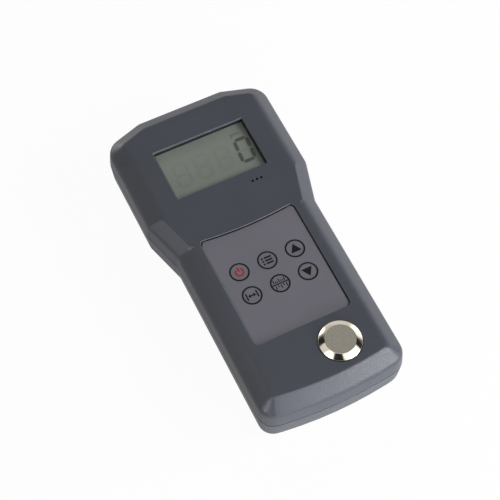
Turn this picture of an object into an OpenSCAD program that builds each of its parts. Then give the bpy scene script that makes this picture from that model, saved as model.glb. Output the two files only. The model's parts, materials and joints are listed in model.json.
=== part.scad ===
// Ultrasonic thickness gauge, lying on its back.
// Origin at the middle of the bottom of its box, +X to the right, +Y to the probe end, +Z out of the face.

/* [Housing] */
// Length of the housing along Y
body_length = 162; // [156:1:174]
// Width across the head
head_width = 80; // [77:0.5:88]
// Width across the grip
grip_width = 68.8; // [67:0.2:72]
// Height of the flat face above the back
body_height = 26.5; // [26:0.25:30]
// Height of the parting line above the back
parting_height = 14; // [13:0.25:14.25]
// Wall thickness of both shells
wall = 2.2; // [1.9:0.1:2.5]
// Thickness of the back
back_wall = 2; // [1.8:0.1:2.4]
// How far the front walls lean in from the parting line to the bevel
front_lean = 0.5; // [0.2:0.1:0.8]
// How far the rear walls lean in from the parting line to the back
rear_lean = 1.2; // [0.6:0.1:1.4]
// Rounding of the edge round the back
back_round = 4.6; // [3:0.2:4.8]
// Length of the head, from the top end to the waist
head_length = 52.6; // [48:0.2:56]
// Length of the waist along Y
waist_length = 20; // [16:0.5:24]
// Half length of the straight part of the top end
knee_x = 20.7; // [19:0.1:22]
// Drop of the top end from its straight part to the head's side
shoulder_drop = 5.9; // [4.5:0.2:7.1]
// How far the bottom end bows out
bottom_bow = 3; // [2:0.5:5]

/* [Bevel] */
// Depth of the bevel below the face
bevel_depth = 4.2; // [3.4:0.2:4.8]
// Plan width of the bevel beside the head
head_bevel = 6.6; // [5.4:0.2:7.2]
// Plan width of the bevel beside the grip
grip_bevel = 6.5; // [5.5:0.2:6.9]
// Plan width of the bevel at the top end
top_bevel = 6.2; // [5:0.2:6.8]
// Plan width of the bevel at the bottom end
low_bevel = 7.1; // [6:0.2:8]
// Bow of the face's bottom edge
face_bow = 2.3; // [1:0.2:4]
// Reach of the rounding between bevel and wall
edge_round = 1.6; // [0.8:0.2:2.4]
// Reach of the rounding between face and bevel along the sides
side_round = 3; // [1:0.2:3.2]
// Reach of the rounding between face and bevel at the two ends and the waist
end_round = 0.6; // [0.4:0.1:1]

/* [Display] */
// Width of the display opening
window_width = 44.5; // [40:0.5:46]
// Height of the display opening
window_height = 26.9; // [24:0.5:28]
// Distance from the top end to the middle of the display opening
window_drop = 34.4; // [33.7:0.1:35.1]
// Thickness of the housing round the opening
window_lip = 1.3; // [1:0.1:1.4]
// Thickness of the clear window
window_thickness = 0.8; // [0.6:0.1:1]
// Thickness of the display glass
lcd_thickness = 2.7; // [2.2:0.1:2.9]
// Height of the elastomer strips under the glass
strip_height = 4.4; // [4:0.1:4.6]

/* [Keypad] */
// Width of the keypad recess
pad_width = 45.8; // [45:0.2:47.6]
// Length of the keypad recess at its sides
pad_length = 56.4; // [54:0.2:58]
// Distance from the bottom end to the keypad recess
pad_rise = 34; // [33.4:0.1:34.4]
// Depth of the keypad recess
pad_depth = 1; // [0.8:0.05:1.1]
// Thickness of the keypad film
film_thickness = 0.5; // [0.4:0.05:0.6]
// Sag of the recess's top edge
pad_sag = 1.5; // [1:0.1:2]
// Corner radius of the keypad recess
pad_radius = 2.4; // [1.5:0.1:3]
// Spacing of the keys along X
key_pitch_x = 13.5; // [12.5:0.1:14]
// Spacing of the keys along Y
key_pitch_y = 12.6; // [11.5:0.1:13]
// Distance from the recess's bottom edge to the middle of the keys
keys_rise = 29; // [28:0.1:30]
// Diameter of a key
key_diameter = 7.8; // [7:0.1:8.2]
// Travel of a key
key_travel = 0.4; // [0.3:0.05:0.5]
// Side of a switch's square body
switch_side = 6.2; // [5.8:0.1:6.6]
// Height of a switch's body
switch_height = 3.5; // [3:0.1:4]
// Diameter of a switch's stem
stem_diameter = 3.4; // [3:0.1:3.8]

/* [Standard block] */
// Diameter of the standard block
block_diameter = 19; // [17:0.5:20]
// Diameter of the block's flat top
block_top_diameter = 13.6; // [12:0.2:15]
// Thickness of the standard block
block_thickness = 5; // [4.5:0.1:5.5]
// Height of the block above the face
block_rise = 1.7; // [1.4:0.1:2.2]
// Height of the block's straight side above the face
block_land = 0.35; // [0.2:0.05:0.6]
// X of the block's middle
block_x = 10.4; // [9:0.1:11]
// Distance from the bottom end to the block's middle
block_drop = 20.6; // [20.3:0.1:20.9]

/* [Battery] */
// Diameter of a cell
cell_diameter = 10.5; // [10:0.1:10.6]
// Length of a cell with its button
cell_length = 44.5; // [43.5:0.1:44.8]
// Length of a contact spring
spring_length = 5; // [4.5:0.1:5.2]
// Thickness of a contact
contact_thickness = 0.4; // [0.3:0.05:0.5]
// Distance from the bottom end to the battery compartment
bay_rise = 7.4; // [7.2:0.1:7.8]
// Length of the battery cover past the compartment's upper end
cover_overlap = 0.6; // [0.4:0.1:0.8]
// Width of the tongues along the battery cover
tongue_width = 1.3; // [1:0.1:1.5]

/* [Board] */
// Width of the main board
board_width = 57; // [55:0.5:58]
// Reach of the board below the keypad recess
board_reach = 2.6; // [2:0.1:3.4]
// Distance from the top end to the board
board_drop = 15; // [14.6:0.1:15.2]
// Thickness of the main board
board_thickness = 1.6; // [1.2:0.1:1.7]
// Diameter of the buzzer
buzzer_diameter = 12; // [10:0.5:12]

/* [Probe sockets] */
// Distance between the two sockets
socket_pitch = 16; // [14:0.5:18]
// Diameter of a socket's bore
socket_bore = 5; // [4.6:0.1:5.2]
// Diameter of a socket's threaded barrel
barrel_diameter = 7; // [6.8:0.1:7.4]
// Diameter of a socket's flange
flange_diameter = 8.8; // [8.4:0.1:9.2]
// Depth of a socket's open bore
bore_depth = 7; // [6:0.1:7.5]

/* [Screws] */
// Distance of the two lower screws from the grip's sides
grip_screw_inset = 6; // [5.8:0.1:6.2]
// Distance of the two lower screws from the bottom end
grip_screw_rise = 11.4; // [10.6:0.1:12.2]
// Distance of the two upper screws from the head's sides
head_screw_inset = 7.4; // [7:0.1:7.6]
// Distance of the two upper screws from the top end
head_screw_drop = 12.4; // [11.4:0.1:13.4]
// Diameter of the housing screws
screw_diameter = 2.8; // [2.4:0.1:3]
// Diameter of the board screws
board_screw_diameter = 1.9; // [1.6:0.1:2.2]

/* [Hidden] */
$fn = 48;
slip = 0.1;
gap = 0.3;
film_gap = 0.45;
arc_steps = 6;
bow_points = 7;
through = 1;

// Places along Y, counted from the two ends
top_y = body_length / 2;
low_y = -body_length / 2;
waist_high = top_y - head_length;
waist_low = waist_high - waist_length;
window_y = top_y - window_drop;
pad_low = low_y + pad_rise;
keys_y = pad_low + keys_rise;
block_y = low_y + block_drop;
board_low = pad_low - board_reach;
board_high = top_y - board_drop;

// Heights, counted down from the face and up from the back
face_z = body_height;
bevel_z = face_z - bevel_depth;
ceiling_z = face_z - wall;
pad_floor_z = face_z - pad_depth;
window_top_z = face_z - window_lip;
window_low_z = window_top_z - window_thickness;
lcd_top_z = min(ceiling_z, window_low_z - slip);
lcd_low_z = lcd_top_z - lcd_thickness;
board_top_z = lcd_low_z - strip_height;
board_low_z = board_top_z - board_thickness;
cover_top_z = back_wall;
bay_floor_z = cover_top_z + 0.2;
cell_z = bay_floor_z + gap + cell_diameter / 2;
bay_roof_z = cell_z + cell_diameter / 2 + 0.2;
bay_wall = 1.2;
bay_top_z = bay_roof_z + bay_wall;

// Parting line: a fine groove outside, a tongue inside
groove_depth = 0.35;
groove_height = 0.3;
lip_height = 1.4;
lip_width = 0.85;

// Corner radii of the outline: bottom corner, waist low, waist high, head corner, knee
rim_radii = [7.8, 5, 5, 9.2, 8];
face_radii = [1.5, 5, 5, 3.4, 6];
face_shoulder = 3.9;

// Reach of the rounding round the face where each corner starts and ends, counter-clockwise from the right
// bottom corner
face_reach = let (s = side_round, e = end_round)
    [[e, s], [s, e], [e, s], [s, e], [e, e], [e, e], [e, s], [s, e], [e, s], [s, e]];

// Height that the loft stands above the face before it is cut flat
skim = 0.002;
face_waist_drop = 1.3;
ceiling_inset = 1;
inner_bevel_drop = 1;

// Keys
KEYS = ["power", "menu", "up", "zero", "units", "down"];
key_hole_diameter = key_diameter + 2 * gap;
stem_reach = 1.2;
switch_hole_depth = stem_reach + key_travel + gap;
function key_at(i) = [(i % 3 - 1) * key_pitch_x, keys_y + (0.5 - floor(i / 3)) * key_pitch_y];

// Standard block
block_pocket_diameter = block_diameter + 2 * 0.25;
block_low_z = face_z + block_rise - block_thickness;
block_ledge = 2;
block_boss_wall = 2;

// Battery bay
cell_pitch = cell_diameter + 0.5;
cell_count = 4;
bay_half = cell_pitch * cell_count / 2 + gap;
bay_length = cell_length + spring_length + 2 * contact_thickness + 2 * slip;
bay_low = low_y + bay_rise;
bay_high = bay_low + bay_length;
contact_side = 9;
tab_width = 4;
cover_high = bay_high + cover_overlap;
cover_half = bay_half + 0.7;
tongue_thickness = cover_top_z / 2;
rail_height = 1.4;
rail_width = 2.6;
wire_radius = 0.35;
spring_turns = 3;
function cell_x(i) = (i - (cell_count - 1) / 2) * cell_pitch;
function cell_up(i) = i % 2 == 0;

// Sockets
socket_z = board_top_z - board_thickness / 2;
socket_flange = 0.7;
socket_seat_y = body_length / 2 - socket_flange;
socket_pad_y = socket_seat_y - 3.8;
socket_tail_y = board_high + gap;
insulator_length = 2.5;
insulator_diameter = socket_bore - 0.8;
contact_radius = 0.5;
nut_across = 9;
nut_thickness = 2;
pin_length = 4;

// Screws
boss_radius = 3.2;
head_radius = 2.7;
head_height = 1.8;
head_seat_z = 4;
screw_depth = 6;
standoff_radius = 2.5;
board_screw_head = 1.9;
board_screw_head_height = 1;
board_screw_x = board_width / 2 - 2.5;
board_screw_y = [board_low + 5, window_y - window_height / 2 - 14.7];
grip_screw = [grip_width / 2 - grip_screw_inset, low_y + grip_screw_rise];
head_screw = [head_width / 2 - head_screw_inset, top_y - head_screw_drop];
screw_spots = [for (s = [-1, 1], p = [grip_screw, head_screw]) [s * p.x, p.y]];
board_spots = [for (s = [-1, 1], y = board_screw_y) [s * board_screw_x, y]];

// Display
lcd_margin = 2.7;
pocket_margin = 2.2;
holder_wall = 1.6;
strip_width = 2;

// Sound holes and buzzer
sound_x = window_width / 2 - 8.05;
sound_spots = [for (k = [-1:1]) [sound_x + k * 2.15, window_y - window_height / 2 - 5.8]];
sound_diameter = 1.2;
buzzer_height = ceiling_z - board_top_z - 0.5;
buzzer_at = [sound_x, sound_spots[0].y - buzzer_diameter / 2 + 0.4];

// Parts on the board, in a row above the keys and a row below them
row_high_y = window_y - window_height / 2 - 10.8;
row_low_y = keys_y - key_pitch_y / 2 - 12.5;
processor_at = [-12, row_low_y];
processor_side = 10;
amplifier_at = [-18.5, row_high_y - 1];
amplifier_side = 5;
chip_height = 1.4;
crystal_at = [-3, row_high_y];
capacitor_at = [4, row_low_y];
inductor_at = [17, row_low_y];

shell_colour = [0.29, 0.3, 0.34];
steel_colour = [0.7, 0.69, 0.66];
gold_colour = [0.78, 0.62, 0.3];
black_colour = [0.09, 0.09, 0.1];

// Outlines of the housing: [half head, half grip, top y, bottom corner y, bow, shoulder, waist ys, radii]
function rim(d) = [
    head_width / 2 - d, grip_width / 2 - d, body_length / 2 - d,
    bottom_bow + d - body_length / 2, bottom_bow,
    shoulder_drop, [waist_low, waist_high], [for (r = rim_radii) max(r - d, 1)]
];
function face(d) = let (e = front_lean + d) [
    head_width / 2 - head_bevel - e, grip_width / 2 - grip_bevel - e, body_length / 2 - top_bevel - e,
    low_bevel + e - body_length / 2 + face_bow, face_bow,
    face_shoulder, [waist_low, waist_high - face_waist_drop], [for (r = face_radii) max(r - d, 1)]
];

function unit(v) = v / norm(v);

// Points of an arc of radius r that rounds the corner b between a and c
function fillet(a, b, c, r) = let (
    u = unit(a - b),
    w = unit(c - b),
    half = acos(u * w) / 2,
    centre = b + unit(u + w) * r / sin(half),
    from = b + u * r / tan(half) - centre,
    to = b + w * r / tan(half) - centre,
    start = atan2(from.y, from.x),
    sweep = (atan2(to.y, to.x) - start + 540) % 360 - 180
) [for (i = [0:arc_steps]) let (t = start + sweep * i / arc_steps) centre + r * [cos(t), sin(t)]];

// Closed run of points along an outline, counter-clockwise from the right bottom corner
function points(o) = let (
    head = o[0], grip = o[1], top = o[2], low = o[3], bow = o[4], waist = o[6], radii = o[7],
    right = [[grip, low], [grip, waist[0]], [head, waist[1]], [head, top - o[5]], [knee_x, top]],
    left = [for (i = [4:-1:0]) [-right[i].x, right[i].y]],
    bowed = [for (k = [1:bow_points]) let (x = grip * (2 * k / (bow_points + 1) - 1))
        [x, low - bow * (1 - pow(x / grip, 2))]],
    corners = concat(right, left, bowed),
    n = len(corners)
) [for (i = [0:n - 1])
    each i >= 10 ? [corners[i]]
        : fillet(corners[(i + n - 1) % n], corners[i], corners[i + 1], radii[i < 5 ? i : 9 - i])];

function ring(o, z) = [for (p = points(o)) [p.x, p.y, z]];

// Rings that round the edge at ring b, from the side of ring a to the side of ring c
function eased(a, b, c, reach, steps) = [for (k = [0:steps]) let (t = k / steps)
    [for (i = [0:len(b) - 1]) let (
        d = is_list(reach) ? reach[i] : reach,
        p = b[i] + unit(a[i] - b[i]) * d,
        q = b[i] + unit(c[i] - b[i]) * d
    ) p * (1 - t) * (1 - t) + b[i] * 2 * t * (1 - t) + q * t * t]];

// Closed skin over a stack of rings, lowest first
module skin(rings) {
    n = len(rings[0]);
    last = len(rings) - 1;
    sides = [for (i = [0:last - 1], j = [0:n - 1]) let (k = (j + 1) % n)
        each [[i * n + j, (i + 1) * n + j, (i + 1) * n + k], [i * n + j, (i + 1) * n + k, i * n + k]]];
    hubs = [for (i = [0, last]) [for (p = rings[i]) 1 / n] * rings[i]];
    low_hub = n * (last + 1);
    caps = [for (j = [0:n - 1]) let (k = (j + 1) % n)
        each [[low_hub, j, k], [low_hub + 1, last * n + k, last * n + j]]];
    polyhedron(concat([for (r = rings) each r], hubs), concat(sides, caps), convexity = 6);
}

module front_form() {
    walls = ring(rim(0), parting_height + groove_height);
    edge = ring(rim(front_lean), bevel_z);
    rim_of_face = ring(face(0), face_z + skim);
    middle = ring(face(5), face_z + skim);
    soft = concat(
        [for (c = face_reach, k = [0:arc_steps]) c[0] + (c[1] - c[0]) * k / arc_steps],
        [for (k = [1:bow_points]) end_round]);
    difference() {
        skin(concat(
            [ring(rim(groove_depth), parting_height),
             ring(rim(groove_depth), parting_height + groove_height),
             walls],
            eased(walls, edge, rim_of_face, edge_round, 3),
            eased(edge, rim_of_face, middle, soft, 4),
            [ring(face(5), face_z + through)]));
        translate([-head_width, -body_length, face_z]) cube([2 * head_width, 2 * body_length, 2 * through]);
    }
}

module front_cavity() {
    skin([ring(rim(wall), parting_height - through),
          ring(rim(front_lean + wall), bevel_z - inner_bevel_drop),
          ring(face(ceiling_inset), ceiling_z)]);
}

module rear_form() {
    inside = ring(rim(rear_lean + 8), 0);
    back_edge = ring(rim(rear_lean), 0);
    walls = ring(rim(0), parting_height - groove_height);
    skin(concat(
        eased(inside, back_edge, walls, back_round, 5),
        [walls,
         ring(rim(groove_depth), parting_height - groove_height),
         ring(rim(groove_depth), parting_height)]));
}

module rear_cavity() {
    skin([ring(rim(rear_lean + wall + 2), back_wall),
          ring(rim(rear_lean * 0.7 + wall), back_wall + 2.5),
          ring(rim(wall), parting_height + through)]);
}

// Outline of the keypad recess, brought in by an inset
module pad_shape(inset) {
    half = pad_width / 2 - inset;
    low = pad_low + inset;
    high = pad_low + pad_length - inset;
    r = pad_radius - inset / 2;
    bow_radius = (pow(pad_width / 2, 2) + pow(pad_sag, 2)) / (2 * pad_sag);
    difference() {
        union() {
            translate([-half, low + r]) square([2 * half, high - low - 2 * r]);
            translate([r - half, low]) square([2 * (half - r), high - low]);
            for (s = [-1, 1], y = [low + r, high - r]) translate([s * (half - r), y]) circle(r);
        }
        translate([0, high - pad_sag + bow_radius]) circle(bow_radius, $fn = 240);
    }
}

module window_box(margin, low, high) {
    w = window_width / 2 + margin;
    h = window_height / 2 + margin;
    translate([-w, window_y - h, low]) cube([2 * w, 2 * h, high - low]);
}

module along_y(x) {
    translate([x, socket_seat_y, socket_z]) rotate([-90, 0, 0]) children();
}

// Openings for the two sockets, half in each shell
module socket_cuts() {
    for (s = [-1, 1]) along_y(s * socket_pitch / 2) {
        cylinder(h = 2 * socket_flange + through, d = flange_diameter + 2 * gap);
        translate([0, 0, -8]) cylinder(h = 9, d = barrel_diameter + 2 * slip);
    }
}

// Thick wall behind the sockets, from one height to another
module socket_pad(low, high) {
    translate([-socket_pitch / 2 - 6, socket_pad_y, low]) cube([socket_pitch + 12, 3, high - low]);
}

module front_housing() color(shell_colour) {
    boss_top = bevel_z + 0.2;
    difference() {
        union() {
            difference() {
                front_form();
                front_cavity();
                translate([0, 0, parting_height - through])
                    linear_extrude(through + lip_height + 0.2) polygon(points(rim(wall - lip_width - 0.15)));
            }
            for (p = screw_spots) translate([p.x, p.y, parting_height])
                cylinder(h = boss_top - parting_height, r = boss_radius);
            for (p = board_spots) translate([p.x, p.y, board_top_z])
                cylinder(h = ceiling_z + 0.4 - board_top_z, r = standoff_radius);
            translate([block_x, block_y, block_low_z - block_boss_wall])
                cylinder(h = ceiling_z + 0.4 - block_low_z + block_boss_wall,
                         d = block_pocket_diameter + 2 * block_boss_wall);
            socket_pad(parting_height + lip_height + 0.4, bevel_z - inner_bevel_drop + 0.4);
        }
        window_box(0, ceiling_z - through, face_z + through);
        window_box(pocket_margin, ceiling_z - through, window_top_z);
        translate([0, 0, pad_floor_z]) linear_extrude(pad_depth + through) pad_shape(0);
        for (i = [0:5]) translate([key_at(i).x, key_at(i).y, ceiling_z - through])
            cylinder(h = wall + 2 * through, d = key_hole_diameter);
        for (p = sound_spots) translate([p.x, p.y, ceiling_z - through])
            cylinder(h = wall + 2 * through, d = sound_diameter);
        translate([block_x, block_y, block_low_z]) cylinder(h = block_thickness, d = block_pocket_diameter);
        translate([block_x, block_y, block_low_z - block_boss_wall - through])
            cylinder(h = block_thickness, d = block_diameter - 2 * block_ledge);
        for (p = screw_spots) translate([p.x, p.y, parting_height - through])
            cylinder(h = screw_depth + through + 0.5, d = screw_diameter + slip);
        for (p = board_spots) translate([p.x, p.y, board_top_z - through])
            cylinder(h = through + pin_length + 0.5, d = board_screw_diameter + slip);
        socket_cuts();
    }
}

module cover_opening(clear) {
    high = cover_high + clear;
    length = high + body_length / 2 + through;
    half = cover_half + clear;
    rise = clear > 0 ? 0.2 : 0;
    translate([-half, high - length, -through]) cube([2 * half, length, cover_top_z + rise + through]);
    translate([-half - tongue_width, high - length, cover_top_z - tongue_thickness - rise])
        cube([2 * (half + tongue_width), length, tongue_thickness + 2 * rise]);
}

module bay_block() {
    side = bay_half + 1.5;
    high = bay_high + 1.5;
    translate([-side, bay_low - bay_wall, back_wall / 2])
        cube([2 * side, high - bay_low + bay_wall, bay_top_z - back_wall / 2]);
    intersection() {
        rear_form();
        union() {
            translate([-side, -body_length / 2, back_wall / 2])
                cube([2 * side, bay_low + body_length / 2, parting_height - back_wall / 2]);
            translate([-side - rail_width, -body_length / 2, back_wall / 2])
                cube([2 * (side + rail_width), high + body_length / 2, back_wall / 2 + rail_height]);
        }
    }
}

module rear_housing() color(shell_colour) {
    difference() {
        union() {
            difference() {
                rear_form();
                rear_cavity();
            }
            difference() {
                translate([0, 0, parting_height - lip_height])
                    linear_extrude(2 * lip_height) polygon(points(rim(wall - lip_width)));
                translate([0, 0, parting_height - lip_height - through])
                    linear_extrude(2 * lip_height + 2 * through) polygon(points(rim(wall)));
            }
            for (p = screw_spots) translate([p.x, p.y, back_wall / 2])
                cylinder(h = parting_height - back_wall / 2, r = boss_radius + 0.2);
            socket_pad(parting_height - 4, parting_height);
            bay_block();
        }
        socket_cuts();
        translate([-bay_half, bay_low, bay_floor_z - through])
            cube([2 * bay_half, bay_length, bay_roof_z - bay_floor_z + through]);
        slot = [tab_width + 2 * slip, 2 * contact_thickness, bay_wall + 2 * through];
        for (i = [0, cell_count - 1])
            translate([cell_x(i) - slot.x / 2, bay_high - slot.y, bay_roof_z - through]) cube(slot);
        cover_opening(gap);
        for (p = screw_spots) translate([p.x, p.y, -through]) {
            cylinder(h = parting_height + 2 * through, d = screw_diameter + 4 * slip);
            cylinder(h = head_seat_z + through, r = head_radius + gap);
        }
    }
}

module battery_cover() color(shell_colour) {
    grip_rows = 6;
    difference() {
        intersection() {
            rear_form();
            cover_opening(0);
        }
        for (k = [0:grip_rows - 1]) translate([-9, bay_low + 3 + 2 * k, -through])
            cube([18, 0.9, through + 0.5]);
    }
}

module keypad_overlay() color([0.41, 0.41, 0.44]) {
    translate([0, 0, pad_floor_z]) linear_extrude(film_thickness) difference() {
        pad_shape(film_gap);
        for (i = [0:5]) translate(key_at(i)) circle(d = key_hole_diameter);
    }
}

module key(i) color([0.41, 0.41, 0.44]) {
    translate([key_at(i).x, key_at(i).y, pad_floor_z]) cylinder(h = film_thickness, d = key_diameter);
}

module stem(i) color(black_colour) {
    low = board_top_z + switch_height - stem_reach;
    translate([key_at(i).x, key_at(i).y, low]) cylinder(h = pad_floor_z - low, d = stem_diameter);
}

module switch(i) color([0.2, 0.2, 0.21]) {
    low_side = switch_side + 0.6;
    translate([key_at(i).x, key_at(i).y, board_top_z]) difference() {
        union() {
            translate([-switch_side / 2, -switch_side / 2, 0])
                cube([switch_side, switch_side, switch_height]);
            for (s = [-1, 1]) translate([-low_side / 2, s * switch_side * 0.36 - 0.35, 0])
                cube([low_side, 0.7, 0.9]);
        }
        translate([0, 0, switch_height - switch_hole_depth])
            cylinder(h = switch_hole_depth + through, d = stem_diameter + 2 * slip);
    }
}

module display_window() color([0.85, 0.9, 0.88, 0.4]) {
    window_box(pocket_margin - slip, window_low_z, window_top_z);
}

module lcd_panel() color([0.43, 0.46, 0.41]) {
    sheet = lcd_thickness / 2;
    window_box(lcd_margin, lcd_low_z, lcd_low_z + sheet);
    difference() {
        window_box(lcd_margin, lcd_low_z + sheet, lcd_top_z);
        translate([-window_width, window_y - window_height / 2 - lcd_margin - through, lcd_low_z + sheet])
            cube([2 * window_width, through + 1.2, lcd_thickness]);
    }
}

module lcd_holder() color([0.85, 0.85, 0.83]) {
    difference() {
        window_box(lcd_margin + holder_wall, board_top_z, lcd_top_z - 0.4);
        window_box(lcd_margin + slip, board_top_z - through, face_z);
    }
}

module elastomer_strip(side) color([0.75, 0.45, 0.5]) {
    y = window_y + side * (window_height / 2 + lcd_margin - strip_width / 2 - 0.4);
    translate([-window_width / 2, y - strip_width / 2, board_top_z])
        cube([window_width, strip_width, strip_height]);
}

module main_board() color([0.12, 0.38, 0.22]) {
    difference() {
        translate([-board_width / 2, board_low, board_low_z])
            cube([board_width, board_high - board_low, board_thickness]);
        for (p = board_spots) translate([p.x, p.y, board_low_z - through])
            cylinder(h = board_thickness + 2 * through, d = board_screw_diameter + 4 * slip);
        slot = 2 * (contact_radius + slip);
        for (s = [-1, 1])
            translate([(s * socket_pitch - slot) / 2, board_high - pin_length, board_low_z - through])
                cube([slot, pin_length + through, board_thickness + 2 * through]);
    }
}

// A chip with legs along two or four sides
module chip(at, side, height, legs, sides) {
    pitch = side / (legs + 1);
    translate([at.x, at.y, board_top_z]) {
        translate([-side / 2, -side / 2, 0.1]) cube([side, side, height]);
        for (turn = [0:sides - 1]) rotate(turn * 360 / sides) for (k = [1:legs])
            translate([side / 2 - 0.2, k * pitch - side / 2 - pitch / 4, 0]) cube([1.2, pitch / 2, 0.3]);
    }
}

module processor_chip() color(black_colour) chip(processor_at, processor_side, chip_height, 8, 4);

module amplifier_chip() color(black_colour) chip(amplifier_at, amplifier_side, chip_height, 4, 2);

module crystal() color(steel_colour) {
    translate([crystal_at.x, crystal_at.y, board_top_z]) {
        translate([-3.5, 0, 0]) cylinder(h = 3.5, r = 1.8);
        translate([3.5, 0, 0]) cylinder(h = 3.5, r = 1.8);
        translate([-3.5, -1.8, 0]) cube([7, 3.6, 3.5]);
    }
}

module capacitor() color([0.15, 0.17, 0.3]) {
    translate([capacitor_at.x, capacitor_at.y, board_top_z]) rotate_extrude()
        polygon([[0, 0], [3.3, 0], [3.3, 0.9], [2.9, 1.1], [3.15, 1.3], [3.15, 5.2], [2.8, 5.4], [0, 5.4]]);
}

module inductor() color([0.25, 0.25, 0.27]) {
    translate([inductor_at.x, inductor_at.y, board_top_z]) rotate_extrude()
        polygon([[0, 0], [4, 0], [4, 0.8], [3, 1], [3, 3], [4, 3.2], [4, 4], [0, 4]]);
}

module buzzer() color(black_colour) {
    translate([buzzer_at.x, buzzer_at.y, board_top_z]) difference() {
        cylinder(h = buzzer_height, d = buzzer_diameter);
        translate([0, 0, buzzer_height - 1]) cylinder(h = 1 + through, r = 1.2);
    }
}

module standard_block() color(steel_colour) {
    r = block_diameter / 2;
    shoulder = block_thickness - block_rise + block_land;
    translate([block_x, block_y, block_low_z]) rotate_extrude($fn = 96)
        polygon([[0, 0], [r - 0.4, 0], [r, 0.4], [r, shoulder], [block_top_diameter / 2, block_thickness],
                 [0, block_thickness]]);
}

// Flat contact against one end of the bay; inward is the way that its springs point
module contact_plate(x_low, x_high, y, inward) {
    translate([x_low - contact_side / 2, inward > 0 ? y : y - contact_thickness, cell_z - contact_side / 2])
        cube([x_high - x_low + contact_side, contact_thickness, contact_side]);
}

// Coil that narrows towards the cell
module contact_spring(x, y, inward) {
    steps = 14 * spring_turns;
    sides = 6;
    long = spring_length - wire_radius;
    base = 3.8;
    tip = 2.4;
    rings = [for (i = [0:steps]) let (
        t = i / steps,
        turn = 360 * spring_turns * t,
        r = base + (tip - base) * t,
        out = [cos(turn), 0, sin(turn)]
    ) [for (j = [0:sides - 1]) let (a = 360 * j / sides)
        out * (r + wire_radius * cos(a)) + [0, inward * (long * t + wire_radius * sin(a)), 0]]];
    translate([x, y, cell_z]) skin(inward < 0 ? [for (r = rings) [for (j = [sides - 1:-1:0]) r[j]]] : rings);
}

module contact_tab(x) {
    translate([x - tab_width / 2, bay_high - contact_thickness, cell_z])
        cube([tab_width, contact_thickness, board_low_z - cell_z]);
}

// Strap from the spring of one cell to the plate of the next
module contact_link(i) color(steel_colour) {
    inward = i % 2 == 0 ? 1 : -1;
    y = inward > 0 ? bay_low : bay_high;
    contact_plate(cell_x(i), cell_x(i + 1), y, inward);
    contact_spring(cell_x(i), y + inward * contact_thickness, inward);
}

module contact_positive() color(steel_colour) {
    contact_plate(cell_x(0), cell_x(0), bay_high, -1);
    contact_tab(cell_x(0));
}

module contact_negative() color(steel_colour) {
    last = cell_count - 1;
    contact_plate(cell_x(last), cell_x(last), bay_high, -1);
    contact_tab(cell_x(last));
    contact_spring(cell_x(last), bay_high - contact_thickness, -1);
}

module cell(i) color([0.2, 0.42, 0.33]) {
    button = 1;
    r = cell_diameter / 2;
    long = cell_length - button;
    tip = cell_up(i) ? bay_high - contact_thickness - slip : bay_low + contact_thickness + slip;
    translate([cell_x(i), tip, cell_z]) rotate([cell_up(i) ? -90 : 90, 0, 0]) translate([0, 0, -cell_length])
        rotate_extrude() polygon([[0, 0], [r - 0.8, 0], [r - 0.6, 0.3], [r - 0.3, 0.3], [r, 0.6],
                                  [r, long - 0.4], [r - 0.4, long], [1.9, long],
                                  [1.9, cell_length], [0, cell_length]]);
}

module socket(side) color(steel_colour) {
    long = socket_seat_y - socket_tail_y;
    along_y(side * socket_pitch / 2) difference() {
        union() {
            cylinder(h = socket_flange, d = flange_diameter);
            translate([0, 0, -long]) cylinder(h = long, d = barrel_diameter);
        }
        translate([0, 0, socket_flange - bore_depth]) cylinder(h = bore_depth + through, d = socket_bore);
        translate([0, 0, socket_flange - bore_depth - insulator_length])
            cylinder(h = insulator_length + through, d = insulator_diameter);
        translate([0, 0, -long - through]) cylinder(h = long, r = 2 * contact_radius);
    }
}

module insulator(side) color([0.92, 0.92, 0.88]) {
    low = socket_flange - bore_depth - insulator_length;
    along_y(side * socket_pitch / 2) translate([0, 0, low]) difference() {
        cylinder(h = insulator_length, d = insulator_diameter - slip);
        translate([0, 0, -through])
            cylinder(h = insulator_length + 2 * through, r = contact_radius + slip / 2);
    }
}

module pin(side) color(gold_colour) {
    low = board_high - pin_length + gap - socket_seat_y;
    high = socket_flange - bore_depth;
    along_y(side * socket_pitch / 2) translate([0, 0, low]) cylinder(h = high - low, r = contact_radius);
}

module socket_nuts() color(steel_colour) {
    low = socket_pad_y - socket_seat_y - nut_thickness;
    for (s = [-1, 1]) along_y(s * socket_pitch / 2) translate([0, 0, low]) difference() {
        rotate(30) cylinder(h = nut_thickness, d = nut_across / cos(30), $fn = 6);
        translate([0, 0, -through]) cylinder(h = nut_thickness + 2 * through, d = barrel_diameter + slip);
    }
}

module housing_screws() color(steel_colour) {
    for (p = screw_spots) translate([p.x, p.y, head_seat_z - head_height]) difference() {
        union() {
            cylinder(h = head_height, r = head_radius);
            cylinder(h = head_height + parting_height - head_seat_z + screw_depth, d = screw_diameter);
        }
        for (turn = [0, 90]) rotate(turn) translate([-1.6, -0.3, -through]) cube([3.2, 0.6, through + 0.9]);
    }
}

module board_screws() color(steel_colour) {
    for (p = board_spots) translate([p.x, p.y, board_low_z - board_screw_head_height]) {
        cylinder(h = board_screw_head_height, r = board_screw_head);
        cylinder(h = board_screw_head_height + board_thickness + pin_length, d = board_screw_diameter);
    }
}

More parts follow.
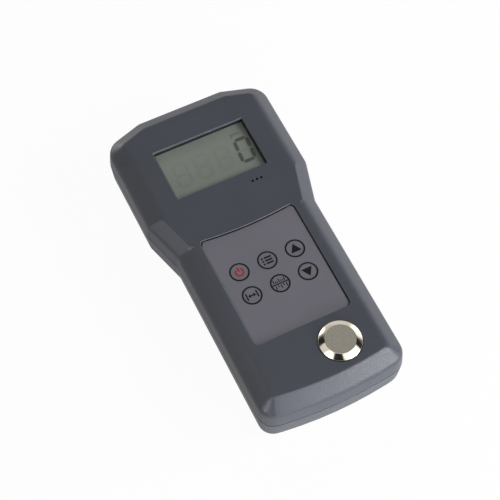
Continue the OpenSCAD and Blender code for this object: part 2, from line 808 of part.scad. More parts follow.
front_housing();
rear_housing();
keypad_overlay();
display_window();
lcd_panel();
lcd_holder();
elastomer_strip(1);  // elastomer_strip_top
elastomer_strip(-1);  // elastomer_strip_low
main_board();
processor_chip();
amplifier_chip();
crystal();
capacitor();
inductor();
buzzer();
standard_block();
battery_cover();
contact_positive();
contact_negative();
socket_nuts();
housing_screws();
board_screws();
for (i = [0:5]) {
    key(i);
    stem(i);
    switch(i);
}
for (i = [1:3]) contact_link(i - 1);
for (i = [1:cell_count]) cell(i - 1);
socket(-1);  // transmit_socket
insulator(-1);  // transmit_insulator
pin(-1);  // transmit_pin
socket(1);  // receive_socket
insulator(1);  // receive_insulator
pin(1);  // receive_pin
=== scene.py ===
"""Looks of a handheld ultrasonic thickness gauge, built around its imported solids."""
import json
import math
import bmesh
import bpy
from mathutils import Matrix, Vector


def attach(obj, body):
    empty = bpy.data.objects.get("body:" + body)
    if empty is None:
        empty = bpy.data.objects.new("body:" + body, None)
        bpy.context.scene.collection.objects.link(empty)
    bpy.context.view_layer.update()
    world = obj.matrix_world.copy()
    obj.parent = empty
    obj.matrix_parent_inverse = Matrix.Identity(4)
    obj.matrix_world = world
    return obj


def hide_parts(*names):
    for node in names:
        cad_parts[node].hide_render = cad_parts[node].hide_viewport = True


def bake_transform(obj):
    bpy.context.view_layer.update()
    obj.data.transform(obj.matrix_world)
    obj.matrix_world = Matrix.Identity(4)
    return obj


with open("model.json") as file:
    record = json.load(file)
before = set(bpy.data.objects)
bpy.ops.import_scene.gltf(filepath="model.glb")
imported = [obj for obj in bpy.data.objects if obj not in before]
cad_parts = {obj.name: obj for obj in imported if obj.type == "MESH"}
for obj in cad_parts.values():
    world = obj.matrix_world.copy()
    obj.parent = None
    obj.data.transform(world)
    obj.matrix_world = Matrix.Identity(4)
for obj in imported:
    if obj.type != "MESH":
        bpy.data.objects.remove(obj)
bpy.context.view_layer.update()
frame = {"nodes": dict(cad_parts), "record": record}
scene = bpy.context.scene
nodes = frame["nodes"]

# Places and sizes of the solids, in millimetres
MM = 0.001
FACE = 26.5
FILM_TOP = 26.0
PAD_FLOOR = 25.5
WINDOW_LEDGE = 25.2
LCD_TOP = 24.3
# Display window: width, height and the y of its middle
WINDOW = (44.5, 26.9, 46.6)
# Standard block: x, y and z of the middle of its base
BLOCK = (10.4, -60.4, 23.2)
# Keypad recess: half its width, low y, high y, sag of its top edge and corner radius
PAD = (22.9, -47.0, 9.4, 1.5, 2.4)
FILM_GAP = 0.45
KEYS = ["power", "menu", "up", "zero", "units", "down"]
KEY_PITCH = (13.5, 12.6)
KEYS_Y = -18.0

# Heights of the flat faces that become whole
FRONT_LEVELS = (FACE, PAD_FLOOR, WINDOW_LEDGE)
REAR_LEVELS = (0, 2.2, 4)
COVER_LEVELS = (0, 2)
FILM_LEVELS = (FILM_TOP, PAD_FLOOR)

# Edges sharper than this, in degrees, aren't shaded smooth: on solids and strips, and on
# turned pieces
SHARP = 34
SHARP_TURNED = 60
EDGE_ROUND = 0.12
FILM_ROUND = 0.06
OPENING_ROUND = 0.31

# Display, keypad and sound holes in the face, whose edges have a rounding of their own:
# x0, y0, x1, y1 and its width
OPENINGS = [(-23, 32, 23, 61, OPENING_ROUND),
            (-24, -48, 24, 10, OPENING_ROUND),
            (10, 25, 18, 30, 0.0)]

# Display figures: x of the lit one, x of the unlit ones, y of all, half width, half height,
# half thickness of a segment, gap between segments and slant
FIGURE_X = 16.7
UNLIT_X = (6.2, -4.2, -14.5)
FIGURE_Y = 45.25
FIGURE_HALF = (3.0, 6.0)
SEGMENT_HALF = 0.86
SEGMENT_GAP = 0.2
SLANT = 0.075
MARK = [(13.6, 53.2), (14.6, 53.2), (14.6, 54.0), (18.3, 54.0), (18.3, 55.3), (13.6, 55.3)]

# How far the display's gasket reaches into the window and behind its edge
GASKET_IN = 0.55
GASKET_OUT = 1.6

# Printed rings: radius and rise over the film, from the outer edge to the inner one
RING_PROFILE = [(4.52, 0.010), (4.22, 0.014), (3.88, 0.050), (3.76, 0.052)]
RING_THICK = 0.006
RING_STEPS = 72

CORNER_STEPS = 8
BOW_STEPS = 24
BLOCK_STEPS = 128
LATHE_PITCH = 0.12


def linear(red, green, blue):
    """Scene-linear colour of an 8-bit screen colour."""
    out = []
    for c in (red, green, blue):
        c /= 255
        out.append(c / 12.92 if c <= 0.04045 else ((c + 0.055) / 1.055) ** 2.4)
    return tuple(out) + (1.0,)


def scaled(colour, factor):
    """Colour made lighter or darker by a factor."""
    return tuple(min(1.0, c * factor) for c in colour[:3]) + (1.0,)


# Materials

def noise(tree, size, detail):
    """Noise whose features are about size millimetres across."""
    place = tree.nodes.new("ShaderNodeTexCoord")
    grain = tree.nodes.new("ShaderNodeTexNoise")
    grain.inputs["Scale"].default_value = 1 / (size * MM)
    grain.inputs["Detail"].default_value = detail
    tree.links.new(place.outputs["Object"], grain.inputs["Vector"])
    return grain.outputs["Fac"]


def spread(tree, value, low, high):
    """Maps the middle of a noise's range to low..high."""
    node = tree.nodes.new("ShaderNodeMapRange")
    node.inputs["From Min"].default_value = 0.3
    node.inputs["From Max"].default_value = 0.7
    node.inputs["To Min"].default_value = low
    node.inputs["To Max"].default_value = high
    tree.links.new(value, node.inputs["Value"])
    return node.outputs["Result"]


def blended(tree, value, first, second):
    """Colour that runs from first to second with a noise."""
    mix = tree.nodes.new("ShaderNodeMix")
    mix.data_type = "RGBA"
    mix.inputs["A"].default_value = first
    mix.inputs["B"].default_value = second
    tree.links.new(spread(tree, value, 0.0, 1.0), mix.inputs["Factor"])
    return mix.outputs["Result"]


def bumped(tree, shader, value, depth, strength):
    """Bump of a depth in millimetres from a noise."""
    node = tree.nodes.new("ShaderNodeBump")
    node.inputs["Strength"].default_value = strength
    node.inputs["Distance"].default_value = depth * MM
    tree.links.new(value, node.inputs["Height"])
    tree.links.new(node.outputs["Normal"], shader.inputs["Normal"])


def surface(name, colour, vary, patch, grain, depth, strength, rough, constants):
    """Material whose colour drifts by a share over patches, with a grain in its gloss and bump.
    Patch, grain and depth are in millimetres."""
    mat = bpy.data.materials.new(name)
    mat.use_nodes = True
    tree = mat.node_tree
    shader = tree.nodes["Principled BSDF"]
    drift = noise(tree, patch, 2.0)
    dark = scaled(linear(*colour), 1 - vary)
    light = scaled(linear(*colour), 1 + vary)
    tree.links.new(blended(tree, drift, dark, light), shader.inputs["Base Color"])
    fine = noise(tree, grain, 4.0)
    tree.links.new(spread(tree, fine, *rough), shader.inputs["Roughness"])
    bumped(tree, shader, fine, depth, strength)
    for socket, value in constants.items():
        shader.inputs[socket].default_value = value
    return mat


# Name, screen colour, share of drift, patch, grain, bump depth, bump strength, roughness
# and the constants of the shader
FINISHES = [
    ("housing_plastic", (61, 64, 72), 0.05, 18, 0.7, 0.15, 0.5, (0.34, 0.46), {"IOR": 1.58}),
    ("overlay_film", (105, 104, 112), 0.03, 20, 0.12, 0.006, 0.25, (0.46, 0.56), {}),
    ("white_plastic", (225, 224, 216), 0.03, 6, 0.2, 0.01, 0.2, (0.4, 0.5), {}),
    ("elastomer", (205, 150, 155), 0.08, 3, 0.3, 0.02, 0.3, (0.6, 0.8), {}),
    ("circuit_board", (34, 96, 60), 0.15, 4, 0.4, 0.01, 0.2, (0.3, 0.45), {}),
    ("black_plastic", (26, 26, 28), 0.15, 4, 0.2, 0.01, 0.3, (0.4, 0.6), {}),
    ("plated_steel", (205, 204, 198), 0.05, 3, 0.15, 0.004, 0.2, (0.22, 0.36), {"Metallic": 1.0}),
    ("cell_jacket", (40, 96, 74), 0.05, 8, 0.3, 0.004, 0.1, (0.2, 0.3), {}),
    ("plated_brass", (208, 203, 190), 0.05, 3, 0.12, 0.004, 0.2, (0.18, 0.32), {"Metallic": 1.0}),
    ("gold_contact", (226, 186, 104), 0.06, 2, 0.1, 0.003, 0.2, (0.2, 0.3), {"Metallic": 1.0}),
    ("clear_window", (196, 203, 196), 0.03, 25, 6.0, 0.002, 0.05, (0.03, 0.07), {"Alpha": 0.03}),
    ("lcd_glass", (124, 129, 121), 0.03, 26, 0.5, 0.002, 0.05, (0.34, 0.42), {}),
    ("print_black", (14, 14, 16), 0.2, 1.2, 0.1, 0.004, 0.2, (0.42, 0.55),
     {"Specular IOR Level": 0.2}),
    ("print_red", (154, 20, 36), 0.08, 1.2, 0.1, 0.004, 0.2, (0.4, 0.5), {}),
    ("lcd_ink", (58, 62, 55), 0.06, 3.0, 0.2, 0.002, 0.1, (0.4, 0.5), {}),
    ("lcd_faint", (101, 106, 98), 0.03, 3.0, 0.2, 0.002, 0.1, (0.36, 0.44), {}),
    ("lcd_ghost", (120, 125, 117), 0.02, 3.0, 0.2, 0.002, 0.1, (0.36, 0.44), {}),
]
MATERIALS = {}
for finish in FINISHES:
    MATERIALS[finish[0]] = surface(*finish)


def turned_nickel(name, dark, light, rough, depth):
    """Nickel with the fine rings that facing on a lathe leaves, round the block's middle."""
    mat = bpy.data.materials.new(name)
    mat.use_nodes = True
    tree = mat.node_tree
    shader = tree.nodes["Principled BSDF"]
    shader.inputs["Metallic"].default_value = 1.0
    drift = noise(tree, 0.8, 3.0)
    tree.links.new(blended(tree, drift, linear(*dark), linear(*light)),
                   shader.inputs["Base Color"])
    place = tree.nodes.new("ShaderNodeTexCoord")
    centre = tree.nodes.new("ShaderNodeVectorMath")
    centre.operation = "SUBTRACT"
    centre.inputs[1].default_value = (BLOCK[0] * MM, BLOCK[1] * MM, 0)
    flat = tree.nodes.new("ShaderNodeVectorMath")
    flat.operation = "MULTIPLY"
    flat.inputs[1].default_value = (1, 1, 0)
    reach = tree.nodes.new("ShaderNodeVectorMath")
    reach.operation = "LENGTH"
    rings = tree.nodes.new("ShaderNodeTexNoise")
    rings.noise_dimensions = "1D"
    rings.inputs["Scale"].default_value = 1 / (LATHE_PITCH * MM)
    rings.inputs["Detail"].default_value = 3.0
    tree.links.new(place.outputs["Object"], centre.inputs[0])
    tree.links.new(centre.outputs["Vector"], flat.inputs[0])
    tree.links.new(flat.outputs["Vector"], reach.inputs[0])
    tree.links.new(reach.outputs["Value"], rings.inputs["W"])
    fine = noise(tree, 0.25, 4.0)
    tree.links.new(spread(tree, fine, *rough), shader.inputs["Roughness"])
    bumped(tree, shader, rings.outputs["Fac"], depth, 0.4)
    return mat


MATERIALS["nickel"] = turned_nickel(
    "nickel", (198, 191, 176), (208, 202, 187), (0.07, 0.12), 0.002)
MATERIALS["nickel_ground"] = turned_nickel(
    "nickel_ground", (205, 194, 171), (219, 208, 186), (0.34, 0.46), 0.008)


# Pieces

def placed(name, mesh, body, slot, *materials):
    """Puts a finished mesh on its body with its materials."""
    obj = bpy.data.objects.new(name, mesh)
    scene.collection.objects.link(obj)
    mesh.materials.clear()
    for m in materials:
        mesh.materials.append(MATERIALS[m])
    if body:
        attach(obj, body)
    return obj


def softened(bm, sharp):
    """Smooth shading, with edges sharper than an angle in degrees kept."""
    for f in bm.faces:
        f.smooth = True
    for e in bm.edges:
        e.smooth = len(e.link_faces) == 2 and e.calc_face_angle(0) < math.radians(sharp)


def edged(obj, width):
    """Rounds an object's edges by a width in millimetres times each edge's weight."""
    bevel = obj.modifiers.new("edges", "BEVEL")
    bevel.width = width * MM
    bevel.segments = 2
    bevel.limit_method = "WEIGHT"
    bevel.use_clamp_overlap = False
    normals = obj.modifiers.new("normals", "WEIGHTED_NORMAL")
    normals.mode = "FACE_AREA"
    normals.keep_sharp = True


def rounding(edge, openings):
    """Width in millimetres that an edge on the face takes from the opening that holds it."""
    spots = [v.co / MM for v in edge.verts]
    for x0, y0, x1, y1, width in openings:
        if all(p.z > FACE - 0.01 and x0 < p.x < x1 and y0 < p.y < y1 for p in spots):
            return width
    return None


def refined(node, body, slot, width, levels, openings=()):
    """Copy of a solid with smooth roundings and softened edges, in place of its node.
    Its flat faces at the heights in levels, in millimetres, become whole.
    Edges in its openings are rounded by the openings' own widths."""
    mesh = nodes[node].data.copy()
    for extra in ("custom_normal", "sharp_face", "sharp_edge"):
        if extra in mesh.attributes:
            mesh.attributes.remove(mesh.attributes[extra])
    bm = bmesh.new()
    bm.from_mesh(mesh)
    bmesh.ops.remove_doubles(bm, verts=bm.verts, dist=2e-6)
    inner = []
    for e in bm.edges:
        if len(e.link_faces) == 2 and all(abs(f.normal.z) > 0.99999 for f in e.link_faces):
            if any(abs(v.co.z / MM - z) < 0.002 for v in e.verts for z in levels):
                inner.append(e)
    bmesh.ops.dissolve_limit(bm, angle_limit=math.radians(0.2), verts=[], edges=inner)
    softened(bm, SHARP)
    weight = bm.edges.layers.float.new("bevel_weight_edge")
    widest = max([width] + [opening[4] for opening in openings])
    for e in bm.edges:
        if not e.smooth:
            own = rounding(e, openings)
            e[weight] = (width if own is None else own) / widest
    bm.to_mesh(mesh)
    bm.free()
    obj = placed(node + "_shell", mesh, body, slot, slot)
    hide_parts(node)
    edged(obj, widest)


def flat_piece(name, outlines, low, thick, body, slot, material):
    """Thin printed shapes, each a closed outline in millimetres."""
    bm = bmesh.new()
    for outline in outlines:
        base = [bm.verts.new((x * MM, y * MM, low * MM)) for x, y in outline]
        top = [bm.verts.new((x * MM, y * MM, (low + thick) * MM)) for x, y in outline]
        bm.faces.new(base)
        bm.faces.new(top)
        for k in range(len(outline)):
            bm.faces.new([base[k - 1], base[k], top[k], top[k - 1]])
    bm.normal_update()
    bmesh.ops.triangulate(bm, faces=bm.faces)
    bmesh.ops.recalc_face_normals(bm, faces=bm.faces)
    mesh = bpy.data.meshes.new(name)
    bm.to_mesh(mesh)
    bm.free()
    placed(name, mesh, body, slot, material)


def arc(cx, cy, radius, start, stop, steps):
    """Points on an arc, angles in degrees."""
    out = []
    for k in range(steps + 1):
        a = math.radians(start + (stop - start) * k / steps)
        out.append((cx + radius * math.cos(a), cy + radius * math.sin(a)))
    return out


def bar(x0, y0, x1, y1):
    """Outline of a bar."""
    return [(x0, y0), (x1, y0), (x1, y1), (x0, y1)]


def key_spot(i):
    """Middle of a key, three to a row."""
    return (i % 3 - 1) * KEY_PITCH[0], KEYS_Y + (0.5 - i // 3) * KEY_PITCH[1]


# Shells, film, keys and everything that keeps its solid

refined("front_housing", "housing", "housing_plastic", EDGE_ROUND, FRONT_LEVELS, OPENINGS)
refined("rear_housing", "housing", "housing_plastic", EDGE_ROUND, REAR_LEVELS)
refined("battery_cover", "cover", "housing_plastic", EDGE_ROUND, COVER_LEVELS)
refined("keypad_overlay", "housing", "overlay_film", FILM_ROUND, FILM_LEVELS)

for row in frame["record"]["subparts"]:
    obj = nodes[row["node"]]
    obj.data.materials.clear()
    obj.data.materials.append(MATERIALS[row["material_slot"]])


# Black strip of painted shade in the gap at the film's right and top edges, and the film's soft
# edge on the other two

def pad_loop(inset):
    """Outline of the keypad recess in millimetres, brought in by an inset.
    It starts at the lower right corner and goes up the right side.
    Its last points repeat the first."""
    half, low, high, sag, radius = PAD
    bow = (half ** 2 + sag ** 2) / (2 * sag)
    half -= inset
    low += inset
    high -= inset
    radius -= inset / 2
    loop = arc(half - radius, low + radius, radius, -90, 0, CORNER_STEPS)
    loop += arc(half - radius, high - radius, radius, 0, 90, CORNER_STEPS)
    for k in range(1, BOW_STEPS):
        x = (half - radius) * (1 - 2 * k / BOW_STEPS)
        loop.append((x, min(high, high - sag + bow - math.sqrt(bow ** 2 - x ** 2))))
    loop += arc(radius - half, high - radius, radius, 90, 180, CORNER_STEPS)
    loop += arc(radius - half, low + radius, radius, 180, 270, CORNER_STEPS)
    return loop + loop[:3]


def strip(name, lines, body, slot, material):
    """Closed strip along lines of points in millimetres, the last line joined to the first."""
    bm = bmesh.new()
    rows = []
    for line in lines:
        rows.append([bm.verts.new((x * MM, y * MM, z * MM)) for x, y, z in line])
    for a, b in zip(rows, rows[1:] + rows[:1]):
        for k in range(len(a) - 1):
            bm.faces.new([a[k], a[k + 1], b[k + 1], b[k]])
    bm.faces.new([row[0] for row in rows])
    bm.faces.new([row[-1] for row in rows])
    bmesh.ops.recalc_face_normals(bm, faces=bm.faces)
    softened(bm, SHARP)
    mesh = bpy.data.meshes.new(name)
    bm.to_mesh(mesh)
    bm.free()
    placed(name, mesh, body, slot, material)


def pad_strip(name, profile, first, last, slot, material):
    """Strip round part of the keypad recess, from a profile of (inset, rise) in millimetres."""
    lines = []
    for inset, rise in profile:
        lines.append([(x, y, PAD_FLOOR + rise) for x, y in pad_loop(inset)[first:last]])
    strip(name, lines, "housing", slot, material)


# Points of the loop: the painted shade ends at the top left corner, where the soft edge starts
SHADE_STRIP_START = 2
SHADE_STRIP_END = 49
EDGE_END = 62
SHADE_STRIP_PROFILE = ((0.02, 0.01), (0.02, 0.75), (0.1, 0.75), (0.1, 0.09),
                (FILM_GAP - 0.02, 0.09), (FILM_GAP - 0.02, 0.01))
EDGE_PROFILE = ((0.02, 0.01), (0.02, 0.44), (FILM_GAP - 0.01, 0.48), (FILM_GAP - 0.01, 0.01))
# Painted shade: a black strip lies in the gap on the two sides where the gap looks dark
pad_strip("keypad_painted_shade", SHADE_STRIP_PROFILE, SHADE_STRIP_START, SHADE_STRIP_END, "black_plastic", "print_black")
pad_strip("keypad_edge", EDGE_PROFILE, SHADE_STRIP_END, EDGE_END, "overlay_film", "overlay_film")


# Standard block

def lathe(name, profile, centre, steps, body, slot, *materials):
    """Turned piece from a profile of (radius, height, material index)."""
    bm = bmesh.new()
    rings = []
    for r, z, _ in profile:
        height = (centre[2] + z) * MM
        if r == 0:
            rings.append([bm.verts.new((centre[0] * MM, centre[1] * MM, height))])
            continue
        ring = []
        for k in range(steps):
            a = 2 * math.pi * k / steps
            x = centre[0] + r * math.cos(a)
            y = centre[1] + r * math.sin(a)
            ring.append(bm.verts.new((x * MM, y * MM, height)))
        rings.append(ring)
    for (low, high), (_, _, m) in zip(zip(rings, rings[1:]), profile):
        for k in range(steps):
            j = (k + 1) % steps
            if len(low) == 1:
                face = bm.faces.new([low[0], high[j], high[k]])
            elif len(high) == 1:
                face = bm.faces.new([low[k], low[j], high[0]])
            else:
                face = bm.faces.new([low[k], low[j], high[j], high[k]])
            face.material_index = m
    softened(bm, SHARP_TURNED)
    mesh = bpy.data.meshes.new(name)
    bm.to_mesh(mesh)
    bm.free()
    return placed(name, mesh, body, slot, *materials)


def rounded(points, radius, steps=4):
    """Profile with its inner corners rounded."""
    out = [points[0]]
    for a, b, c in zip(points, points[1:], points[2:]):
        pa = Vector(a[:2])
        pb = Vector(b[:2])
        pc = Vector(c[:2])
        r = min(radius, (pa - pb).length / 2.1, (pc - pb).length / 2.1)
        p = pb + (pa - pb).normalized() * r
        q = pb + (pc - pb).normalized() * r
        for k in range(steps + 1):
            t = k / steps
            s = p * (1 - t) ** 2 + pb * 2 * t * (1 - t) + q * t * t
            out.append((s.x, s.y, b[2] if k == steps else a[2]))
    out.append(points[-1])
    return out


BLOCK_PROFILE = [(0, 0, 0), (9.1, 0, 0), (9.5, 0.4, 0), (9.5, 3.65, 0), (6.8, 5, 1), (0, 5, 1)]
block = lathe("standard_block_turned", rounded(BLOCK_PROFILE, 0.16), BLOCK, BLOCK_STEPS,
              "housing", "nickel", "nickel", "nickel_ground")
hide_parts("standard_block")


# Display: gasket, segments and the faint unlit ones

def digit(cx, cy, lit):
    """Outlines of the segments, named a to g as usual, of a slightly slanted figure."""
    half_w, half_h = FIGURE_HALF
    t = SEGMENT_HALF
    across = half_w - SEGMENT_GAP
    up = half_h - 2 * SEGMENT_GAP
    shapes = {}
    for key, y in (("a", half_h), ("g", 0.0), ("d", -half_h)):
        shapes[key] = [(-across, y), (t - across, y + t), (across - t, y + t),
                       (across, y), (across - t, y - t), (t - across, y - t)]
    for key, x, y0 in (("b", half_w, 0), ("c", half_w, -half_h),
                       ("e", -half_w, -half_h), ("f", -half_w, 0)):
        y1 = y0 + SEGMENT_GAP
        y2 = y0 + up + SEGMENT_GAP
        shapes[key] = [(x, y1), (x + t, y1 + t), (x + t, y2 - t),
                       (x, y2), (x - t, y2 - t), (x - t, y1 + t)]
    return [[(cx + x + SLANT * y, cy + y) for x, y in shapes[s]] for s in lit]


def frame_outlines(half_x, half_y, cy, inner, outer):
    """Four bars that make a frame round an opening, a hair apart at the corners."""
    side = half_y - inner - 0.01
    return [bar(-half_x - outer, cy + half_y - inner, half_x + outer, cy + half_y + outer),
            bar(-half_x - outer, cy - half_y - outer, half_x + outer, cy - half_y + inner),
            bar(-half_x - outer, cy - side, inner - half_x, cy + side),
            bar(half_x - inner, cy - side, half_x + outer, cy + side)]


flat_piece("display_gasket",
           frame_outlines(WINDOW[0] / 2, WINDOW[1] / 2, WINDOW[2], GASKET_IN, GASKET_OUT),
           LCD_TOP + 0.02, 0.07, "housing", "black_plastic", "print_black")
flat_piece("display_figure", digit(FIGURE_X, FIGURE_Y, "abcdef"), LCD_TOP + 0.02, 0.02,
           "housing", "black_plastic", "lcd_ink")
flat_piece("display_mark", [MARK], LCD_TOP + 0.015, 0.015, "housing", "lcd_glass", "lcd_faint")
ghosts = digit(FIGURE_X, FIGURE_Y, "g")
for x in UNLIT_X:
    ghosts += digit(x, FIGURE_Y, "abcdefg")
flat_piece("display_unlit", ghosts, LCD_TOP + 0.01, 0.01, "housing", "lcd_glass", "lcd_ghost")


# Print on the keys

def flex_ring(name, i):
    """Printed ring over the gap round a key."""
    cx, cy = key_spot(i)
    under = [(r, rise - RING_THICK) for r, rise in reversed(RING_PROFILE)]
    bm = bmesh.new()
    rings = []
    for r, rise in RING_PROFILE + under:
        circle = arc(cx, cy, r, 0, 360 - 360 / RING_STEPS, RING_STEPS - 1)
        rings.append([bm.verts.new((x * MM, y * MM, (FILM_TOP + rise) * MM)) for x, y in circle])
    for outer, inner in zip(rings, rings[1:] + rings[:1]):
        for k in range(RING_STEPS):
            j = (k + 1) % RING_STEPS
            bm.faces.new([outer[k], outer[j], inner[j], inner[k]])
    bmesh.ops.recalc_face_normals(bm, faces=bm.faces)
    softened(bm, SHARP_TURNED)
    mesh = bpy.data.meshes.new(name)
    bm.to_mesh(mesh)
    bm.free()
    obj = placed(name, mesh, None, "black_plastic", "print_black")
    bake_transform(obj)


def sector(cx, cy, inner, outer, start, stop):
    """Outline of part of a ring, angles in degrees."""
    return arc(cx, cy, outer, start, stop, 40) + arc(cx, cy, inner, stop, start, 40)


def legend(i):
    """Outlines of a key's generic mark."""
    x, y = key_spot(i)
    if KEYS[i] == "power":
        return [sector(x, y - 0.1, 1.36, 2.12, 127, 413),
                bar(x - 0.38, y + 0.2, x + 0.38, y + 2.4)]
    if KEYS[i] == "up":
        return [[(x - 2.5, y - 1.7), (x + 2.5, y - 1.7), (x, y + 2.5)]]
    if KEYS[i] == "down":
        return [[(x - 2.5, y + 1.7), (x, y - 2.5), (x + 2.5, y + 1.7)]]
    if KEYS[i] == "menu":
        rows = []
        for k in (-1, 0, 1):
            middle = y + 1.45 * k
            rows.append(bar(x - 2.4, middle - 0.4, x - 1.5, middle + 0.4))
            rows.append(bar(x - 0.9, middle - 0.4, x + 2.4, middle + 0.4))
        return rows
    if KEYS[i] == "zero":
        return [bar(x - 2.75, y - 1.7, x - 2.1, y + 1.7),
                bar(x + 2.1, y - 1.7, x + 2.75, y + 1.7),
                [(x - 1.8, y), (x - 0.75, y - 1.05), (x - 0.75, y - 0.33), (x + 0.75, y - 0.33),
                 (x + 0.75, y - 1.05), (x + 1.8, y), (x + 0.75, y + 1.05), (x + 0.75, y + 0.33),
                 (x - 0.75, y + 0.33), (x - 0.75, y + 1.05)]]
    ticks = [bar(x - 3.8, y - 0.27, x + 3.8, y + 0.27)]
    for k in range(-3, 4):
        at = x + 0.85 * k
        reach = 2.5 if k % 3 == 0 else 1.6
        ticks.append(bar(at - 0.2, y + 0.6, at + 0.2, y + reach))
    for k in range(-2, 3):
        at = x + 1.25 * k
        reach = 2.5 if k % 2 == 0 else 1.6
        ticks.append(bar(at - 0.22, y - reach, at + 0.22, y - 0.6))
    return ticks


for i, key in enumerate(KEYS):
    flex_ring("ring_" + key, i)
    ink = "print_red" if key == "power" else "print_black"
    flat_piece("legend_" + key, legend(i), FILM_TOP + 0.005, 0.02,
               key + "_key", "black_plastic", ink)


# Stage, light and camera

def looks(tree, gloss=1.0):
    """1 for rays from the camera or through a clear pane, and gloss for rays from a gloss."""
    path = tree.nodes.new("ShaderNodeLightPath")
    share = tree.nodes.new("ShaderNodeMath")
    share.operation = "MULTIPLY"
    share.inputs[1].default_value = gloss
    tree.links.new(path.outputs["Is Glossy Ray"], share.inputs[0])
    return joined(tree, "MAXIMUM", [path.outputs["Is Camera Ray"],
                                    path.outputs["Is Transmission Ray"],
                                    share.outputs["Value"]])


def joined(tree, operation, values):
    """Values put together by one operation, such as ADD."""
    out = values[0]
    for value in values[1:]:
        node = tree.nodes.new("ShaderNodeMath")
        node.operation = operation
        tree.links.new(out, node.inputs[0])
        tree.links.new(value, node.inputs[1])
        out = node.outputs["Value"]
    return out


def between(tree, value, low, high):
    """low where value is 0, high where it is 1."""
    node = tree.nodes.new("ShaderNodeMapRange")
    node.inputs["To Min"].default_value = low
    node.inputs["To Max"].default_value = high
    tree.links.new(value, node.inputs["Value"])
    return node.outputs["Result"]


# Half the floor's side and its height, in metres
FLOOR_HALF = 4
FLOOR_Z = -0.0001
corners = bar(-FLOOR_HALF, -FLOOR_HALF, FLOOR_HALF, FLOOR_HALF)
floor_mesh = bpy.data.meshes.new("floor")
floor_mesh.from_pydata([(x, y, FLOOR_Z) for x, y in corners], [], [(0, 1, 2, 3)])
floor = bpy.data.objects.new("floor", floor_mesh)
scene.collection.objects.link(floor)
floor_mat = bpy.data.materials.new("floor")
floor_mat.use_nodes = True
floor_tree = floor_mat.node_tree
pale = floor_tree.nodes["Principled BSDF"]
pale.inputs["Base Color"].default_value = (0.82, 0.82, 0.82, 1)
pale.inputs["Roughness"].default_value = 0.9
white = floor_tree.nodes.new("ShaderNodeEmission")
white.inputs["Color"].default_value = (1, 1, 1, 1)
over = floor_tree.nodes.new("ShaderNodeMixShader")
floor_tree.links.new(between(floor_tree, looks(floor_tree, 0.45), 0.0, 0.96), over.inputs["Fac"])
floor_tree.links.new(pale.outputs["BSDF"], over.inputs[1])
floor_tree.links.new(white.outputs["Emission"], over.inputs[2])
floor_tree.links.new(over.outputs["Shader"],
                     floor_tree.nodes["Material Output"].inputs["Surface"])
floor_mesh.materials.append(floor_mat)

world = bpy.data.worlds.new("studio")
world.use_nodes = True
scene.world = world
sky = world.node_tree
back = sky.nodes["Background"]
direction = sky.nodes.new("ShaderNodeTexCoord")
axes = sky.nodes.new("ShaderNodeSeparateXYZ")
fade = sky.nodes.new("ShaderNodeMapRange")
fade.inputs["From Min"].default_value = 0.22
fade.inputs["From Max"].default_value = 0.5
fade.inputs["To Min"].default_value = 1.0
fade.inputs["To Max"].default_value = 0.03
sky.links.new(direction.outputs["Generated"], axes.inputs["Vector"])
sky.links.new(axes.outputs["Z"], fade.inputs["Value"])


def panel(tree, towards, edge, core, level):
    """Soft round panel of light in the sky, that fades from its core to its edge, in degrees."""
    facing = tree.nodes.new("ShaderNodeVectorMath")
    facing.operation = "DOT_PRODUCT"
    facing.inputs[1].default_value = Vector(towards).normalized()
    tree.links.new(direction.outputs["Generated"], facing.inputs[0])
    node = tree.nodes.new("ShaderNodeMapRange")
    node.interpolation_type = "SMOOTHSTEP"
    node.inputs["From Min"].default_value = math.cos(math.radians(edge))
    node.inputs["From Max"].default_value = math.cos(math.radians(core))
    node.inputs["To Max"].default_value = level
    tree.links.new(facing.outputs["Value"], node.inputs["Value"])
    return node.outputs["Result"]


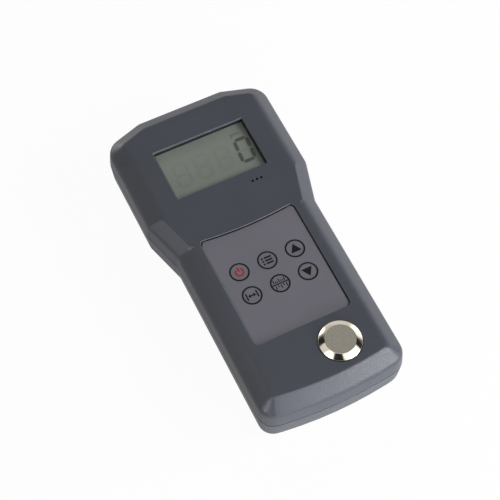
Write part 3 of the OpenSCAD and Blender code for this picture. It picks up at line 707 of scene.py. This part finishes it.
# A gloss sees a pale horizon and these panels: direction, edge and core in degrees, and level
PANELS = [((-0.56, 0.135, 0.816), 26, 21, 1.0),
          ((0.387, -0.452, 0.803), 28.5, 23.5, 1.8),
          ((0.24, 0.37, 0.90), 24, 10, 0.4),
          ((0.5, -0.6, 0.62), 22, 8, 7.4),
          ((-0.3, 0.95, 0.1), 22, 10, 3.4),
          ((-0.685, -0.15, 0.715), 18, 6, 5.5),
          ((-0.02, 0.0, 1.0), 20, 8, 0.8),
          ((0.92, 0.35, 0.15), 25, 12, 1.3),
          ((0.21, -0.88, 0.40), 16, 6, 3.0),
          ((0.0, 0.77, 0.64), 24, 10, 0.4)]
studio = joined(sky, "ADD", [fade.outputs["Result"]] + [panel(sky, *row) for row in PANELS])
plain = sky.nodes.new("ShaderNodeMix")
plain.inputs["A"].default_value = 0.7
sky.links.new(looks(sky), plain.inputs["Factor"])
sky.links.new(studio, plain.inputs["B"])
sky.links.new(plain.outputs["Result"], back.inputs["Color"])
sky.links.new(between(sky, looks(sky), 0.15, 1.0), back.inputs["Strength"])


def softbox(name, spot, size, power):
    """Soft lamp that points at the gauge and that a gloss doesn't see."""
    lamp = bpy.data.lights.new(name, "AREA")
    lamp.shape = "RECTANGLE"
    lamp.size = size[0]
    lamp.size_y = size[1]
    lamp.energy = power
    obj = bpy.data.objects.new(name, lamp)
    obj.location = spot
    obj.rotation_euler = (LAMP_TARGET - Vector(spot)).to_track_quat("-Z", "Y").to_euler()
    obj.visible_glossy = False
    scene.collection.objects.link(obj)


LAMP_TARGET = Vector((0, 0, 0.01))
softbox("low_box", (0.086, -0.986, 0.139), (0.8, 0.2), 15)
softbox("right_box", (0.800, -0.373, 0.469), (0.6, 0.4), 10)
softbox("back_box", (0.163, 0.925, 0.342), (0.6, 0.4), 4.2)

# Camera fitted to the photograph: its place, a point it looks at and its focal length in pixels
EYE = Vector((-150.088, -301.525, 621.131)) * MM
AIM = Vector((-4.670, -4.051, 26.5)) * MM
FOCAL_PIXELS = 1557.24
FRAME_PIXELS = 500
lens = bpy.data.cameras.new("camera")
lens.sensor_width = 36
lens.lens = lens.sensor_width * FOCAL_PIXELS / FRAME_PIXELS
lens.clip_start = 0.05
camera = bpy.data.objects.new("camera", lens)
away = (EYE - AIM).normalized()
right = Vector((0, 0, 1)).cross(away).normalized()
up = away.cross(right)
camera.matrix_world = Matrix(((right.x, up.x, away.x, EYE.x),
                              (right.y, up.y, away.y, EYE.y),
                              (right.z, up.z, away.z, EYE.z),
                              (0, 0, 0, 1)))
scene.collection.objects.link(camera)
scene.camera = camera
scene.view_settings.view_transform = "Standard"
